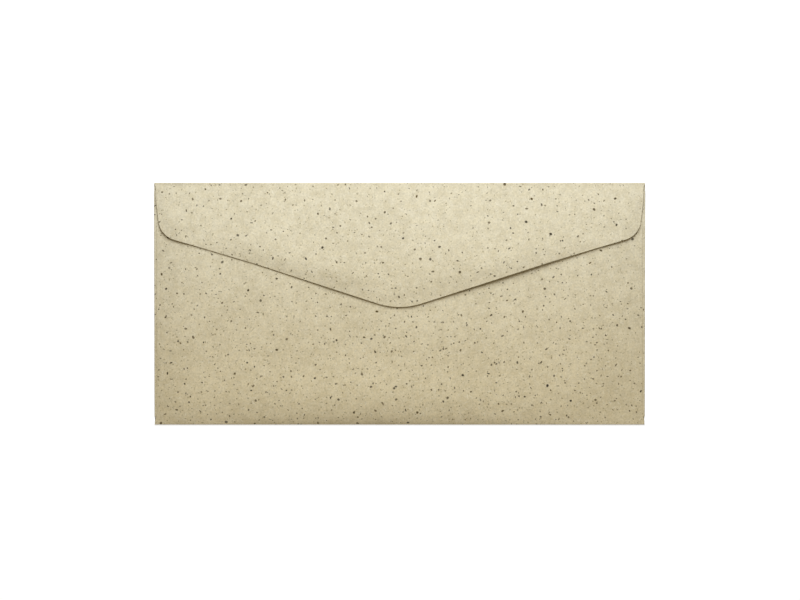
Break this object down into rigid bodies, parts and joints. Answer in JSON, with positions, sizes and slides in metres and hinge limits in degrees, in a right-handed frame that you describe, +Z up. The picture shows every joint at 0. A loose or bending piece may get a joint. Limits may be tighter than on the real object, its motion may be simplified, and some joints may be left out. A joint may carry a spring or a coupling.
{
  "type": "envelope",
  "caption": "Wallet envelope in speckled recycled paper, with a pointed, gummed seal flap that opens flat on its long crease.",
  "frame": {"origin": "centre of the front panel's outer face, which lies on the table, and of the 220 by 110 mm outline", "axes": "+X along the long side, +Y in the plane of the envelope towards the crease that the seal flap turns on, +Z up, out of the closed seal flap"},
  "size_m": [0.22, 0.11, 0.0021],
  "materials": {
    "recycled_paper": "matt uncoated recycled paper with dark specks",
    "dried_gum": "thin, slightly glossy dried gum on paper",
    "seam_glue": "thin dried white glue"
  },
  "bodies": {
    "pocket": {"front_panel": "recycled_paper", "back_panel": "recycled_paper", "left_side_flap": "recycled_paper", "right_side_flap": "recycled_paper", "bottom_fold": "recycled_paper", "left_side_fold": "recycled_paper", "right_side_fold": "recycled_paper", "top_fold": "recycled_paper", "left_seam_glue": "seam_glue", "right_seam_glue": "seam_glue"},
    "flap": {"seal_flap": "recycled_paper", "flap_fold": "recycled_paper", "seal_gum": "dried_gum"}
  },
  "joints": [
    {"name": "flap_crease", "type": "hinge", "parent": "pocket", "child": "flap", "pos_m": [0, 0.055, 0.00106], "axis": [-1, 0, 0], "range_deg": [0, 179]}
  ]
}
